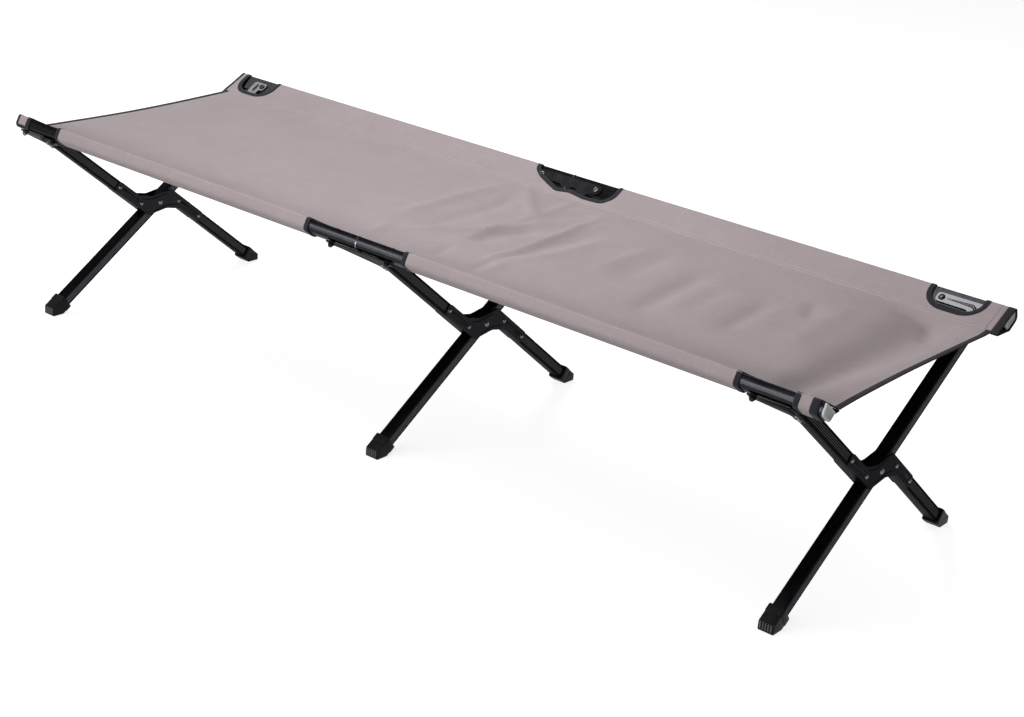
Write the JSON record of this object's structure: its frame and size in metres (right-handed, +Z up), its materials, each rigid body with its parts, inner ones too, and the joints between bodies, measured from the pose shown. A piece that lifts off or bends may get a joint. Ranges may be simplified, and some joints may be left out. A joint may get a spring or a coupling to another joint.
{
  "type": "camping cot",
  "caption": "Long low folding camp bed: a taut cloth cover sleeved over two side rails, carried on crossed tubular legs that pivot at Z-shaped bracket plates.",
  "frame": {"origin": "on the floor under the middle of the bed, the centre of the base of the bounding box", "axes": "+X along the bed, to the right as seen from the front; +Y from the front rail to the rear rail; +Z up"},
  "size_m": [1.9, 0.6353, 0.4206],
  "materials": {
    "black_tube": "satin black anodised",
    "dark_plate": "satin dark grey coating",
    "steel": "plain",
    "foot_plastic": "fine grain",
    "grey_cap": "satin",
    "cloth": "woven polyester"
  },
  "bodies": {
    "front_frame": {"cover": "cloth", "foot_rear_left": "foot_plastic", "foot_rear_middle": "foot_plastic", "foot_rear_right": "foot_plastic", "gusset_bolt_front_left": "steel", "gusset_bolt_front_right": "steel", "gusset_front_left_lower": "dark_plate", "gusset_front_left_upper": "dark_plate", "gusset_front_right_lower": "dark_plate", "gusset_front_right_upper": "dark_plate", "hinge_strap_front_lower": "dark_plate", "hinge_strap_front_upper": "dark_plate", "lower_leg_left": "black_tube", "lower_leg_middle": "black_tube", "lower_leg_right": "black_tube", "pivot_left": "steel", "pivot_middle": "steel", "pivot_right": "steel", "rail_cap_front_left": "grey_cap", "rail_cap_front_right": "grey_cap", "rail_front_left": "black_tube", "rail_front_right": "black_tube", "stay_bolt_front_left": "steel", "strap_bolt_front_left": "steel", "strap_bolt_front_right": "steel", "upper_leg_left": "black_tube", "upper_leg_middle": "black_tube", "upper_leg_right": "black_tube", "z_plate_left_inner": "dark_plate", "z_plate_left_outer": "dark_plate", "z_plate_middle_inner": "dark_plate", "z_plate_middle_outer": "dark_plate", "z_plate_right_inner": "dark_plate", "z_plate_right_outer": "dark_plate"},
    "rear_frame": {"foot_front_left": "foot_plastic", "foot_front_middle": "foot_plastic", "foot_front_right": "foot_plastic", "gusset_bolt_rear_left": "steel", "gusset_bolt_rear_right": "steel", "gusset_rear_left_lower": "dark_plate", "gusset_rear_left_upper": "dark_plate", "gusset_rear_right_lower": "dark_plate", "gusset_rear_right_upper": "dark_plate", "hinge_strap_rear_lower": "dark_plate", "hinge_strap_rear_upper": "dark_plate", "long_leg_left": "black_tube", "long_leg_middle": "black_tube", "long_leg_right": "black_tube", "rail_cap_rear_left": "grey_cap", "rail_cap_rear_right": "grey_cap", "rail_rear_left": "black_tube", "rail_rear_right": "black_tube", "strap_bolt_rear_left": "steel", "strap_bolt_rear_right": "steel"}
  },
  "joints": [
    {"name": "cross_fold", "type": "hinge", "parent": "front_frame", "child": "rear_frame", "pos_m": [0, 0, 0.195], "axis": [1, 0, 0], "range_deg": [0, 106], "deforming": ["cover"]}
  ]
}
